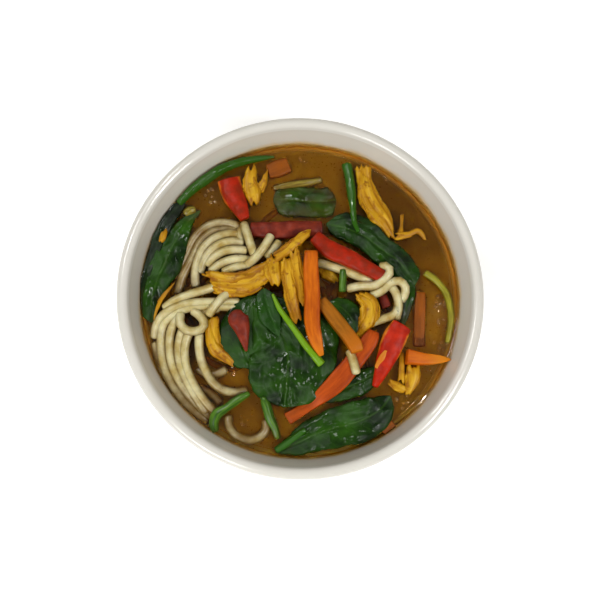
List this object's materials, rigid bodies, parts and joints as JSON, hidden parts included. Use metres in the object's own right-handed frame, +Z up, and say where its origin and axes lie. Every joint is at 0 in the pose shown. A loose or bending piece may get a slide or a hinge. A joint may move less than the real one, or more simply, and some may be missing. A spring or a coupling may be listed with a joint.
{
  "type": "bowl of chicken thukpa",
  "caption": "Round white footed bowl filled with brown broth, wheat noodles, spinach leaves, carrot and red pepper strips and torn chicken.",
  "frame": {"origin": "centre of the foot ring's underside, on the surface the bowl stands on", "axes": "+Z up along the bowl's axis, +Y towards the top of the picture, +X towards its right"},
  "size_m": [0.155, 0.155, 0.069],
  "materials": {
    "porcelain": "glossy white glaze",
    "broth": "cloudy brown stock with an oily, mirror-wet surface",
    "noodle": "boiled wheat noodle, smooth and wet",
    "spinach": "wilted leaf, veined and wet",
    "stem": "wilted stalk, faintly ridged and wet",
    "carrot": "knife-cut, softly grained and wet",
    "pepper": "waxy skin outside, wet flesh inside",
    "chicken": "torn along its fibres, stained by the stock",
    "onion": "soft, half see-through strip"
  },
  "bodies": {
    "root": {"bowl": "porcelain", "broth": "broth", "noodles": "noodle", "carrot_strip_05": "carrot", "carrot_strip_06": "carrot", "carrot_strip_07": "carrot", "onion_strip_01": "onion", "onion_strip_02": "onion", "spinach_leaf_03": "spinach", "spinach_leaf_01": "spinach", "spinach_leaf_02": "spinach", "spinach_leaf_10": "spinach", "spinach_stem_04": "stem", "chicken_05": "chicken", "chicken_06": "chicken", "chicken_07": "chicken", "chicken_10": "chicken", "pepper_strip_01": "pepper", "pepper_strip_02": "pepper", "pepper_strip_06": "pepper", "spinach_leaf_04": "spinach", "chicken_08": "chicken", "chicken_09": "chicken", "spinach_leaf_09": "spinach", "carrot_strip_03": "carrot", "carrot_strip_04": "carrot", "pepper_strip_04": "pepper", "spinach_leaf_08": "spinach", "spinach_stem_01": "stem", "spinach_stem_02": "stem", "spinach_stem_03": "stem", "spinach_leaf_05": "spinach", "pepper_strip_05": "pepper", "spinach_leaf_07": "spinach", "pepper_strip_03": "pepper", "spinach_leaf_06": "spinach", "carrot_strip_02": "carrot", "spinach_leaf_11": "spinach", "chicken_01": "chicken", "chicken_04": "chicken", "chicken_03": "chicken", "carrot_strip_01": "carrot"}
  },
  "joints": []
}
